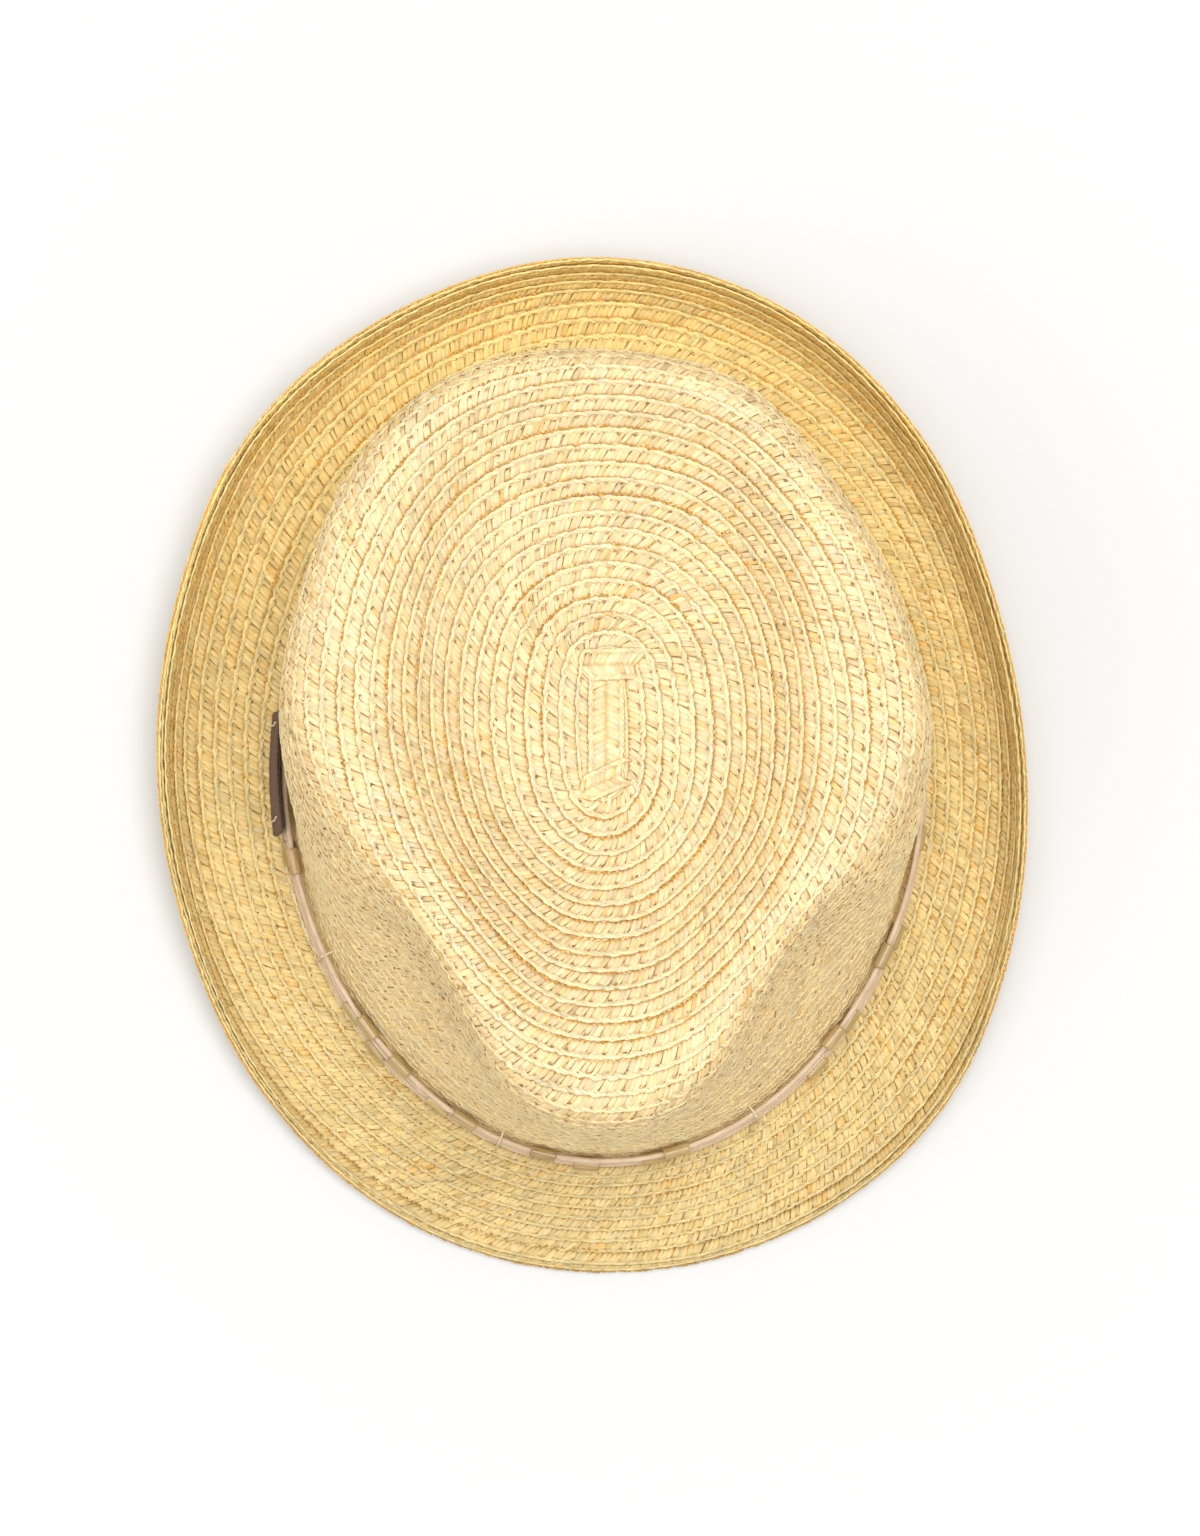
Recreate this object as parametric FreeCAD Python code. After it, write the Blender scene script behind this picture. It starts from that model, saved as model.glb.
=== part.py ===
import FreeCAD, Part
import math
import os

# A trilby sewn from paper braid: teardrop crown with a pinched front, short brim turned up
# at the back and sides, and a hatband of three laces strung with tube beads.
#
# Millimetres. +Z is up and -Y is the front. The origin is the middle of the brim's outline,
# on the surface that the hat rests on. Angles run round the hat from the back (0 degrees)
# over +X (90) and the front (180) to -X (270).

# Braid
THICK = 2.0                  # two overlapped layers of sewn braid
BRAID_HALF_WIDTH = 4.5       # the straight run that the spiral starts from

# Crown: centre of the head oval, and the oval's half width and half length at the base
CENTRE_X = 3.2
CENTRE_Y = -1.0
HALF_WIDTH = 87.0
HALF_LENGTH = 107.0
BASE_FLARE = 2.0             # how far the crown's foot turns out to meet the brim
BASE_FLARE_HEIGHT = 9.0

# Start of the spiral: a straight run along Y on the floor of the dent
START_X = -1.0
START_Y = 8.0
START_HALF_LENGTH = 12.2
FLAP_LENGTH = 15.4
FLAP_WIDTH = 9.0
FLAP_THICK = 1.2
FLAP_ROUND = 2.0
STRIP_PROUD = 0.25           # how far the straight run stands above the floor of the dent
STRIP_FIT = 0.98             # its outline, as a share of the hole in the crown

# Outline of the crown's top, at sixteen stations right round; it leans a little to -X at the back
SHOULDER_X = [-2, 34.5, 57, 74.5, 83.4, 73, 48, 25,
              -1, -27, -49, -70, -85.5, -80.4, -64.5, -37.5]
SHOULDER_Y = [108, 99.5, 75.5, 45, 10, -22, -50, -87,
              -97, -87, -49, -22, 10, 47.5, 82.5, 103]
# Heights and the dent of the crown's top, from the back to the front, the same on both sides
RIDGE_Z = [99, 99, 100, 101, 101, 102, 104, 107, 108]
FLOOR_Z = 81.0
DENT_FOOT = [0.63, 0.62, 0.56, 0.47, 0.41, 0.44, 0.44, 0.33, 0.24]
DENT_FOOT_Z = [88, 87, 84, 82, 81.5, 81.5, 82, 83, 83]
DENT_HEAD = [0.85, 0.82, 0.72, 0.66, 0.60, 0.66, 0.74, 0.70, 0.62]
DENT_HEAD_Z = [97, 97, 97, 98, 98.5, 100, 102, 103, 102]
RIDGE_END = 0.94
SHOULDER_DROP = 7.0
# How far each side wall is pressed in at the front pinch, or bulges where this is negative, and
# how that fades down the wall
PINCH = [0, 0, 0, -0.5, -2, -2, 7, 4, 0]
WALL_ROWS = [(0.18, 0.7), (0.38, 1.0), (0.60, 0.6), (0.82, 0.15), (1.0, 0.0)]

# Brim: reach of its edge from the origin at sixteen stations right round, from the back
BRIM_REACH = [141.2, 138, 129.5, 121.6, 121.0, 127.2, 137.5, 141.6,
              141.2, 137.6, 130, 122.8, 121.4, 124.8, 133.5, 137.8]
# Height of the edge, and the share of the brim that lies flat, from the back to the front
BRIM_LIFT = [27, 26, 24, 21, 19, 15, 8, 2.5, 1.0]
BRIM_FLAT = [0.30, 0.30, 0.30, 0.32, 0.35, 0.42, 0.55, 0.68, 0.74]
CURL = [(0.0, 0.0), (0.3, 0.0), (0.62, 0.10), (0.86, 0.38), (1.0, 1.0)]
EDGE_THICK = 1.0             # the last round is doubled by one more layer of braid
EDGE_START = 0.84            # where on the curl that layer begins
EDGE_GAP = 0.2

# Sweatband inside the crown, and the stitches along its lower edge
BAND_THICK = 0.8
BAND_GAP = 0.5
BAND_HEIGHTS = [0.8, 2.0, 4.5, 9.0, 16.0, 24.0, 33.0]
BAND_STITCH_HEIGHT = 5.0
BAND_STITCHES = 96
BAND_STITCH_LENGTH = 3.6
THREAD_R = 0.3

# Hatband: three laces, the beads threaded on them and the thread loops that hold them
LACE_R = 0.9
LACE_HEIGHTS = {"upper": 13.4, "middle": 9.2, "lower": 5.0}
BEAD_R = 1.8
BEAD_BORE_R = 1.3
BEAD_LENGTH = 7.3
BEAD_ROUND = 0.3
BEAD_WALL_GAP = 0.25
BEAD_ANGLES = {
    "upper": [28, 78, 119, 134, 167, 191, 206, 220, 228, 256, 284.5, 290.4, 295.2, 300, 335],
    "middle": [4, 50, 100, 130, 171, 211, 231.5, 312],
    "lower": [20, 66, 115, 139, 183, 224.7, 257.8, 287.7, 345],
}
TACK_ANGLES = [12, 88, 152, 199, 241, 322]
TACK_SINK = 1.0

# Leather patch over the laces on the -X side, and its four stitches
PATCH_ANGLES = (260.5, 278.5)
PATCH_HEIGHTS = (3.6, 18.8)
PATCH_THICK = 1.3
PATCH_GAP = 0.1
PATCH_LEAN = 1.2
PATCH_STITCH_INSET = 0.12
PATCH_STITCH_LENGTH = 3.0

# Resolution of the surfaces
AROUND = 96
CROWN_SAMPLES = 44
CURL_SAMPLES = 12
TUBE_SAMPLES = 10


# ---- Curves round the hat ----

def even(half):
    """Station values right round the hat, the same on both sides."""
    return list(half) + list(half[-2:0:-1])


def smooth(values, angle):
    """A smooth closed curve through evenly spaced station values."""
    place = angle / (2 * math.pi) * len(values)
    i = math.floor(place)
    t = place - i
    a, b, c, d = (values[(i + k) % len(values)] for k in (-1, 0, 1, 2))
    bend = (2 * a - 5 * b + 4 * c - d) * t * t + (-a + 3 * b - 3 * c + d) * t ** 3
    return 0.5 * (2 * b + (c - a) * t + bend)


def mix(a, b, share):
    return a + (b - a) * share


def mix_plan(p, q, share):
    return (mix(p[0], q[0], share), mix(p[1], q[1], share))


def pressed(share):
    """Pushes a value between -1 and 1 towards those ends."""
    return 1.5 * share - 0.5 * share ** 3


def start_line(angle, out=0.0):
    """A point of the straight first run, or that far out from it."""
    along = START_HALF_LENGTH * pressed(pressed(math.cos(angle)))
    x = CENTRE_X + START_X + out * math.sin(angle)
    return (x, CENTRE_Y + START_Y + along + out * math.cos(angle))


def shoulder(angle):
    return (CENTRE_X + smooth(SHOULDER_X, angle), CENTRE_Y + smooth(SHOULDER_Y, angle))


def plan_normal(angle):
    """Outward normal of the head oval."""
    x = math.sin(angle) / HALF_WIDTH
    y = math.cos(angle) / HALF_LENGTH
    size = math.hypot(x, y)
    return (x / size, y / size)


def base(angle, out=0.0):
    nx, ny = plan_normal(angle)
    x = CENTRE_X + HALF_WIDTH * math.sin(angle)
    y = CENTRE_Y + HALF_LENGTH * math.cos(angle)
    return (x + nx * out, y + ny * out)


def brim_edge(angle):
    reach = smooth(BRIM_REACH, angle)
    return (reach * math.sin(angle), reach * math.cos(angle))


def ring_angles(count=AROUND):
    return [2 * math.pi * i / count for i in range(count)]


def vector(plan, z):
    return FreeCAD.Vector(plan[0], plan[1], z)


# ---- Sections of the crown and of the brim ----

def crown_section(angle):
    """The crown's outer line at one angle, from the start of the spiral to its foot."""
    a = start_line(angle)
    s = shoulder(angle)
    b = base(angle)
    nx, ny = plan_normal(angle)
    foot = smooth(even(DENT_FOOT), angle)
    head = smooth(even(DENT_HEAD), angle)
    ridge_z = smooth(even(RIDGE_Z), angle)
    pinch = smooth(even(PINCH), angle)
    poles = [
        vector(start_line(angle, BRAID_HALF_WIDTH), FLOOR_Z),
        vector(mix_plan(a, s, foot / 2), FLOOR_Z),
        vector(mix_plan(a, s, foot), smooth(even(DENT_FOOT_Z), angle)),
        vector(mix_plan(a, s, head), smooth(even(DENT_HEAD_Z), angle)),
        vector(mix_plan(a, s, (head + RIDGE_END) / 2), ridge_z + 1),
        vector(mix_plan(a, s, RIDGE_END), ridge_z),
        vector(s, ridge_z - SHOULDER_DROP),
    ]
    wall_foot_z = THICK + BASE_FLARE_HEIGHT
    for share, press in WALL_ROWS:
        x, y = mix_plan(s, b, share)
        push = -pinch * press
        z = mix(ridge_z - SHOULDER_DROP, wall_foot_z, share)
        poles.append(vector((x + nx * push, y + ny * push), z))
    poles.append(vector(base(angle, 0.2 * BASE_FLARE), THICK + 0.5 * BASE_FLARE_HEIGHT))
    poles.append(vector(base(angle, BASE_FLARE), THICK))
    curve = Part.BSplineCurve()
    curve.buildFromPoles(poles, False, 3)
    return curve


def crown_grid():
    sections = [crown_section(angle) for angle in ring_angles()]
    rows = []
    for j in range(CROWN_SAMPLES):
        share = j / (CROWN_SAMPLES - 1)
        rows.append([c.value(mix(c.FirstParameter, c.LastParameter, share)) for c in sections])
    return rows


def wall(angle, z, out=0.0):
    """The point of the crown's outer wall at a height, moved out along the oval's normal."""
    curve = crown_section(angle)
    low = curve.LastParameter
    high = mix(curve.FirstParameter, curve.LastParameter, 0.5)
    for _ in range(40):
        between = (low + high) / 2
        if curve.value(between).z < z:
            low = between
        else:
            high = between
    found = curve.value(low)
    nx, ny = plan_normal(angle)
    return FreeCAD.Vector(found.x + nx * out, found.y + ny * out, z)


def curl_section(angle):
    """The brim's underside at one angle, from its flat ring to its edge."""
    inner = base(angle, BASE_FLARE)
    edge = brim_edge(angle)
    start = mix_plan(inner, edge, smooth(even(BRIM_FLAT), angle))
    lift = smooth(even(BRIM_LIFT), angle)
    curve = Part.BSplineCurve()
    poles = [vector(mix_plan(start, edge, share), lift * rise) for share, rise in CURL]
    curve.buildFromPoles(poles, False, 3)
    return curve


def curl_grid(first=0.0, samples=CURL_SAMPLES):
    sections = [curl_section(angle) for angle in ring_angles()]
    rows = []
    for j in range(samples):
        share = mix(first, 1.0, j / (samples - 1))
        rows.append([c.value(mix(c.FirstParameter, c.LastParameter, share)) for c in sections])
    return rows


def normals(rows):
    """Unit normals of a grid that closes round the hat, on its upper or outer side."""
    found = []
    last = len(rows) - 1
    for j, row in enumerate(rows):
        ahead = rows[min(j + 1, last)]
        behind = rows[max(j - 1, 0)]
        line = []
        for i in range(len(row)):
            across = row[(i + 1) % len(row)] - row[i - 1]
            along = ahead[i] - behind[i]
            line.append(across.cross(along).normalize())
        found.append(line)
    return found


def shifted(rows, directions, distance):
    return [
        [p + n * distance for p, n in zip(row, line)] for row, line in zip(rows, directions)
    ]


# ---- Surfaces and solids ----

def clamped(count):
    """Knots and multiplicities of a clamped direction, and its degree."""
    degree = min(3, count - 1)
    inner = count - degree - 1
    knots = [k / (inner + 1) for k in range(inner + 2)]
    return knots, [degree + 1] + [1] * inner + [degree + 1], degree


def surface(rows, closed=True, closed_along=False):
    """A face over a grid of poles: closed round each row, and along the rows if asked."""
    count = len(rows[0])
    poles = [[row[i] for row in rows] for i in range(count)]
    u_knots, u_mults, u_degree = clamped(count)
    v_knots, v_mults, v_degree = clamped(len(rows))
    if closed:
        u_knots, u_mults, u_degree = [k / count for k in range(count + 1)], [1] * (count + 1), 3
    if closed_along:
        v_knots = [k / len(rows) for k in range(len(rows) + 1)]
        v_mults, v_degree = [1] * (len(rows) + 1), 3
    made = Part.BSplineSurface()
    made.buildFromPolesMultsKnots(
        poles, u_mults, v_mults, u_knots, v_knots, closed, closed_along, u_degree, v_degree
    )
    return made.toShape()


def closed_curve(points):
    count = len(points)
    curve = Part.BSplineCurve()
    knots = [k / count for k in range(count + 1)]
    curve.buildFromPolesMultsKnots(points, [1] * (count + 1), knots, True, 3)
    return curve


def solid_of(faces):
    shape = Part.makeCompound(faces)
    shape.sewShape(0.01)
    solid = Part.makeSolid(shape.Shells[0])
    if solid.Volume < 0:
        solid.reverse()
    return solid


def ring_solid(upper, lower):
    """A closed band between two grids that both close round the hat."""
    return solid_of([
        surface(upper),
        surface(lower),
        surface([upper[0], lower[0]]),
        surface([upper[-1], lower[-1]]),
    ])


def plate_solid(upper, lower):
    """A plate between two open grids."""
    faces = [surface(upper, False), surface(lower, False)]
    for end in (0, -1):
        faces.append(surface([upper[end], lower[end]], False))
        faces.append(surface([[r[end] for r in upper], [r[end] for r in lower]], False))
    return solid_of(faces)


def rod(start, end, radius):
    return Part.makeCylinder(radius, (end - start).Length, start, end - start)


# ---- Braid ----

def crown_shell_grids():
    outer = crown_grid()
    facing = normals(outer)
    up = FreeCAD.Vector(0, 0, 1)
    facing[0] = [up for _ in facing[0]]
    facing[-1] = [vector(plan_normal(angle), 0) for angle in ring_angles()]
    return outer, shifted(outer, facing, -THICK)


def make_crown():
    return ring_solid(*crown_shell_grids())


def make_start_strip():
    """The straight run that fills the middle of the spiral, with its end folded over it."""
    heart = FreeCAD.Vector(CENTRE_X + START_X, CENTRE_Y + START_Y, FLOOR_Z)
    down = FreeCAD.Vector(0, 0, THICK)
    low = [heart + (p - heart) * STRIP_FIT - down for p in crown_grid()[0]]
    face = Part.Face(Part.Wire(closed_curve(low).toShape()))
    strip = face.extrude(FreeCAD.Vector(0, 0, THICK + STRIP_PROUD))
    left = heart.x - FLAP_LENGTH / 2
    back = heart.y + START_HALF_LENGTH - FLAP_WIDTH / 3
    corner = FreeCAD.Vector(left, back, FLOOR_Z + 0.8 * STRIP_PROUD)
    flap = Part.makeBox(FLAP_LENGTH, FLAP_WIDTH, FLAP_THICK, corner)
    upright = [e for e in flap.Edges if abs(e.tangentAt(e.FirstParameter).z) > 0.9]
    return strip.fuse(flap.makeFillet(FLAP_ROUND, upright))


def make_brim():
    """The flat ring that the crown stands on, and the curl from it to the edge."""
    inner = [vector(base(angle), 0) for angle in ring_angles()]
    inner_top = [p + FreeCAD.Vector(0, 0, THICK) for p in inner]
    under = curl_grid()
    facing = normals(under)
    facing[0] = [FreeCAD.Vector(0, 0, 1) for _ in facing[0]]
    over = shifted(under, facing, THICK)
    flats = []
    for outline, hole in ((under[0], inner), (over[0], inner_top)):
        wires = [Part.Wire(closed_curve(line).toShape()) for line in (outline, hole)]
        flats.append(Part.makeFace(wires, "Part::FaceMakerBullseye"))
    walls = [surface([inner, inner_top]), surface([under[-1], over[-1]])]
    return solid_of(flats + walls + [surface(under), surface(over)])


def make_edge_round():
    """The extra layer of braid that doubles the brim's last round."""
    under = curl_grid(EDGE_START, 5)
    facing = normals(under)
    low = shifted(under, facing, THICK + EDGE_GAP)
    high = shifted(under, facing, THICK + EDGE_GAP + EDGE_THICK)
    return ring_solid(high, low)


# ---- Sweatband ----

def sweatband_ring(z, depth):
    out = -(THICK + BAND_GAP + depth)
    points = [wall(angle, max(z, THICK), out) for angle in ring_angles()]
    return [FreeCAD.Vector(p.x, p.y, z) for p in points]


def make_sweatband():
    outer = [sweatband_ring(z, 0.0) for z in BAND_HEIGHTS]
    inner = [sweatband_ring(z, BAND_THICK) for z in BAND_HEIGHTS]
    return ring_solid(outer, inner)


def make_sweatband_stitches():
    line = closed_curve(sweatband_ring(BAND_STITCH_HEIGHT, BAND_THICK + THREAD_R + 0.05))
    stitches = []
    for k in range(BAND_STITCHES):
        at = line.value(k / BAND_STITCHES)
        along = line.tangent(k / BAND_STITCHES)[0] * (BAND_STITCH_LENGTH / 2)
        stitches.append(rod(at - along, at + along, THREAD_R))
    return Part.makeCompound(stitches)


# ---- Hatband ----

def lace_line(name):
    out = BEAD_R + BEAD_WALL_GAP
    return [wall(angle, LACE_HEIGHTS[name], out) for angle in ring_angles()]


def make_lace(name):
    """A round lace that runs right round the crown at one height."""
    # a closed cubic through evenly spread poles lies inside them by this ratio
    ratio = (2 + math.cos(2 * math.pi / TUBE_SAMPLES)) / 3
    rows = []
    for turn in ring_angles(TUBE_SAMPLES):
        reach = LACE_R / ratio * math.cos(turn)
        rise = FreeCAD.Vector(0, 0, LACE_R / ratio * math.sin(turn))
        rows.append([
            p + vector(plan_normal(angle), 0) * reach + rise
            for p, angle in zip(lace_line(name), ring_angles())
        ])
    return Part.makeSolid(Part.Shell([surface(rows, True, True)]))


def bead_places():
    """Name, lace, centre, direction and centre of the lace's curve for each bead."""
    places = []
    for name in LACE_HEIGHTS:
        curve = closed_curve(lace_line(name))
        for degrees in BEAD_ANGLES[name]:
            out = BEAD_R + BEAD_WALL_GAP
            near = wall(math.radians(degrees), LACE_HEIGHTS[name], out)
            u = curve.parameter(near)
            bead = f"bead_{len(places) + 1:02d}"
            turn = curve.centerOfCurvature(u)
            places.append((bead, name, curve.value(u), curve.tangent(u)[0], turn))
    return places


def make_bead(centre, along):
    start = centre - along * (BEAD_LENGTH / 2)
    body = Part.makeCylinder(BEAD_R, BEAD_LENGTH, start, along)
    body = body.cut(Part.makeCylinder(BEAD_BORE_R, BEAD_LENGTH, start, along))
    rims = [e for e in body.Edges if isinstance(e.Curve, Part.Circle)]
    outer = [e for e in rims if e.Curve.Radius > BEAD_BORE_R + 0.1]
    return body.makeFillet(BEAD_ROUND, outer)


def make_band_tacks():
    """Thread loops over the three laces, each with both ends sewn into the crown."""
    over = BEAD_R + BEAD_WALL_GAP + LACE_R + THREAD_R + 0.05
    heights = (LACE_HEIGHTS["lower"] - LACE_R - 0.8, LACE_HEIGHTS["upper"] + LACE_R + 0.8)
    loops = []
    for degrees in TACK_ANGLES:
        angle = math.radians(degrees)
        low, high = (wall(angle, z, over) for z in heights)
        loop = rod(low, high, THREAD_R)
        for z, corner in zip(heights, (low, high)):
            loop = loop.fuse(rod(corner, wall(angle, z, -TACK_SINK), THREAD_R))
            loop = loop.fuse(Part.makeSphere(THREAD_R, corner))
        loops.append(loop)
    return Part.makeCompound(loops)


def patch_point(across, up, depth):
    """A point on the patch, from its front end to its back end and from its foot up."""
    angle = math.radians(mix(PATCH_ANGLES[0], PATCH_ANGLES[1], across))
    lean = PATCH_LEAN * (1 - up)
    out = BEAD_R + BEAD_WALL_GAP + LACE_R + PATCH_GAP + lean + depth
    return wall(angle, mix(PATCH_HEIGHTS[0], PATCH_HEIGHTS[1], up), out)


def make_patch():
    ups = [k / 5 for k in range(6)]
    acrosses = [k / 8 for k in range(9)]
    outer = [[patch_point(s, up, PATCH_THICK) for s in acrosses] for up in ups]
    inner = [[patch_point(s, up, 0.0) for s in acrosses] for up in ups]
    return plate_solid(outer, inner)


def make_patch_stitches():
    """Two upright stitches at each end of the patch."""
    stitches = []
    for across in (PATCH_STITCH_INSET, 1 - PATCH_STITCH_INSET):
        for up in (0.3, 0.7):
            half = PATCH_STITCH_LENGTH / 2 / (PATCH_HEIGHTS[1] - PATCH_HEIGHTS[0])
            depth = PATCH_THICK + THREAD_R + 0.05
            low = patch_point(across, up - half, depth)
            high = patch_point(across, up + half, depth)
            stitches.append(rod(low, high, THREAD_R))
    return Part.makeCompound(stitches)


def make_all():
    made = {
        "crown_braid": make_crown(),
        "crown_start_strip": make_start_strip(),
        "brim_braid": make_brim(),
        "brim_edge_round": make_edge_round(),
        "sweatband": make_sweatband(),
        "sweatband_stitches": make_sweatband_stitches(),
        "band_tacks": make_band_tacks(),
        "leather_patch": make_patch(),
        "patch_stitches": make_patch_stitches(),
    }
    for name in LACE_HEIGHTS:
        made[f"{name}_lace"] = make_lace(name)
    for bead, _, centre, along, _ in bead_places():
        made[bead] = make_bead(centre, along)
    return made


if __name__ == "__main__":
    os.makedirs("parts", exist_ok=True)
    for node, shape in make_all().items():
        shape.exportStep(f"parts/{node}.step")
        print(node, shape.isValid(), round(shape.Volume, 1), len(shape.Solids))
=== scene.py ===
import math
import bpy
import numpy as np
from mathutils import Matrix, Vector


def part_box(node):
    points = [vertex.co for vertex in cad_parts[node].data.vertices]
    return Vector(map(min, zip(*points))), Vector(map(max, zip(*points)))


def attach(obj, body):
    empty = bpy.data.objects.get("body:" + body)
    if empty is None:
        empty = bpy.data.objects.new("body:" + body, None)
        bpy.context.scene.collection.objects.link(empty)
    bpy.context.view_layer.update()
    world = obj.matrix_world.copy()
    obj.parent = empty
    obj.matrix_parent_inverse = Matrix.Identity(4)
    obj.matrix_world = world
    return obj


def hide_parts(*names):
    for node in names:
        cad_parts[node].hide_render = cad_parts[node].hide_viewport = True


# A trilby sewn from paper braid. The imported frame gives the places; this file makes what shows:
# every strand of the braid, the cane beads, laces, patch and sweatband, and their materials.
#
# Shapes are worked out in millimetres and turned into metres when a mesh is made. +Z is up and
# -Y is the front. Angles run round the hat from the back (0) over +X, front and -X.
# A row is one round of the spiral; row numbers grow outwards from the middle of the crown.

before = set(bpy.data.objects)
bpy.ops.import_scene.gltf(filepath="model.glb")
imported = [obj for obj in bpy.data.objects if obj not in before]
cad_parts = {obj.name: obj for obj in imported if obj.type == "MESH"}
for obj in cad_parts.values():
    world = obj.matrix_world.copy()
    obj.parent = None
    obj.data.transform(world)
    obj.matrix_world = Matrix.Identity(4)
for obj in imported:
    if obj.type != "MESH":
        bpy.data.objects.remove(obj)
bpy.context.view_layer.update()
scene = bpy.context.scene

MM = 0.001
TAU = 2 * math.pi
rng = np.random.default_rng(11)


def spread(size, *shape):
    """Random numbers round zero, with this standard deviation."""
    return size * rng.standard_normal(shape)


def box_mm(node):
    low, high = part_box(node)
    return np.array(low) / MM, np.array(high) / MM


# ---- Sizes of the hat ----

crown_low, crown_high = box_mm("crown_braid")
_, strip_high = box_mm("crown_start_strip")
BASE_FLARE = 2.0
BASE_FLARE_HEIGHT = 9.0
CENTRE_X, CENTRE_Y = (crown_low[:2] + crown_high[:2]) / 2
HALF_WIDTH, HALF_LENGTH = (crown_high[:2] - crown_low[:2]) / 2 - BASE_FLARE
THICK = crown_low[2]
BRAID_HALF_WIDTH = 4.5
START_X = -1.0
START_Y = 8.0
START_HALF_LENGTH = 12.2

SHOULDER_X = [-2, 34.5, 57, 74.5, 83.4, 73, 48, 25,
              -1, -27, -49, -70, -85.5, -80.4, -64.5, -37.5]
SHOULDER_Y = [108, 99.5, 75.5, 45, 10, -22, -50, -87,
              -97, -87, -49, -22, 10, 47.5, 82.5, 103]
RIDGE_Z = [99, 99, 100, 101, 101, 102, 104, 107, 108]
FLOOR_Z = 81.0
DENT_FOOT = [0.63, 0.62, 0.56, 0.47, 0.41, 0.44, 0.44, 0.33, 0.24]
DENT_FOOT_Z = [88, 87, 84, 82, 81.5, 81.5, 82, 83, 83]
DENT_HEAD = [0.85, 0.82, 0.72, 0.66, 0.60, 0.66, 0.74, 0.70, 0.62]
DENT_HEAD_Z = [97, 97, 97, 98, 98.5, 100, 102, 103, 102]
RIDGE_END = 0.94
SHOULDER_DROP = 7.0
PINCH = [0, 0, 0, -0.5, -2, -2, 7, 4, 0]
WALL_ROWS = [(0.18, 0.7), (0.38, 1.0), (0.60, 0.6), (0.82, 0.15), (1.0, 0.0)]
BRIM_REACH = [141.2, 138, 129.5, 121.6, 121.0, 127.2, 137.5, 141.6,
              141.2, 137.6, 130, 122.8, 121.4, 124.8, 133.5, 137.8]
BRIM_LIFT = [27, 26, 24, 21, 19, 15, 8, 2.5, 1.0]
BRIM_FLAT = [0.30, 0.30, 0.30, 0.32, 0.35, 0.42, 0.55, 0.68, 0.74]
CURL = [(0.0, 0.0), (0.3, 0.0), (0.62, 0.10), (0.86, 0.38), (1.0, 1.0)]

POLES = 96                   # stations round the hat that its surfaces are splined through
CROWN_POLES = 44
CURL_POLES = 12
FINE = 720                   # angles that the finished surface is sampled at
CROWN_SAMPLES = 200          # points at each of them, from the crown's middle to its foot
CURL_SAMPLES = 60            # and from there to the brim's edge
SOFTEN_SAMPLES = 480

# Hatband, patch and sweatband
LACE_R = 0.9
LACE_HEIGHTS = {"upper": 13.4, "middle": 9.2, "lower": 5.0}
LACE_GIRTH_R = 98.0          # mean radius of a lace's way round the crown
LACE_SHRINK = 0.80           # how thick a lace shows, as a share of its plain solid
BEAD_R = 1.8
BEAD_BORE_R = 1.3
BEAD_LENGTH = 7.3
BEAD_WALL_GAP = 0.25
BEAD_EASE = 0.28             # size of the eased end
BEAD_CORNER = 0.07           # and length of its first, steeper part
BEAD_BODY_END = 0.9          # where the plain tube starts, from the end
BEAD_CORNERS = 28
PATCH_ANGLES = (260.5, 278.5)
PATCH_HEIGHTS = (3.6, 18.8)
PATCH_THICK = 1.3
PATCH_GAP = 0.1
PATCH_LEAN = 1.2
PATCH_TALL = 15.2
PATCH_WIDE = 31.0
PATCH_ROUNDING = 0.6         # at its cut edge
PATCH_NAP = 0.05
PATCH_OVER_LACE = 0.12       # how far it swells over each lace
PATCH_LACE_REACH = 1.5
BAND_THICK = 0.8
BAND_GAP = 0.5
BAND_HEIGHTS = (0.8, 33.0)
BAND_LEAN = 0.5              # how far its top leans and waves inwards
BAND_EASE = 0.08             # rounding of its edges
FLAP_THICK = 1.2

# Rows of braid
EDGE_LIFT = 0.8              # how far the doubled edge round stands on the last row
CROWN_ROWS = 40
BRIM_ROWS = 10
ROWS = CROWN_ROWS + BRIM_ROWS
SHOULDER_ROW = 26            # where the crown's top turns down into its wall
PER_ROW = 8                  # samples of the surface across each row
FOOT_ROUNDING = 1.2          # how far the corner between crown and brim is softened


# ---- Curves and surfaces ----

def even(half):
    return np.array(list(half) + list(half[-2:0:-1]), float)


def smooth(values, angle):
    """A smooth closed curve through evenly spaced station values."""
    values = np.asarray(values, float)
    place = angle / TAU * len(values)
    i = np.floor(place).astype(int)
    t = place - i
    a, b, c, d = (values[(i + k) % len(values)] for k in (-1, 0, 1, 2))
    bend = (2 * a - 5 * b + 4 * c - d) * t * t + (-a + 3 * b - 3 * c + d) * t ** 3
    return 0.5 * (2 * b + (c - a) * t + bend)


def unit(v):
    return v / np.maximum(np.linalg.norm(v, axis=-1, keepdims=True), 1e-9)


def stacked(*parts):
    """Vectors or points from the grids of each of their parts."""
    return np.stack(np.broadcast_arrays(*parts), axis=-1)


def at_height(plan, z):
    z = np.broadcast_to(np.asarray(z, float), plan.shape[:-1])
    return np.concatenate([plan, z[..., None]], axis=-1)


def oval_normal(angle):
    plan = np.stack([np.sin(angle) / HALF_WIDTH, np.cos(angle) / HALF_LENGTH], axis=-1)
    return unit(plan)


def base(angle, out=0.0):
    x = CENTRE_X + HALF_WIDTH * np.sin(angle)
    y = CENTRE_Y + HALF_LENGTH * np.cos(angle)
    return np.stack([x, y], axis=-1) + oval_normal(angle) * out


def mix(a, b, share):
    share = np.asarray(share, float)
    if share.ndim:
        share = share[..., None]
    return a + (b - a) * share


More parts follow.
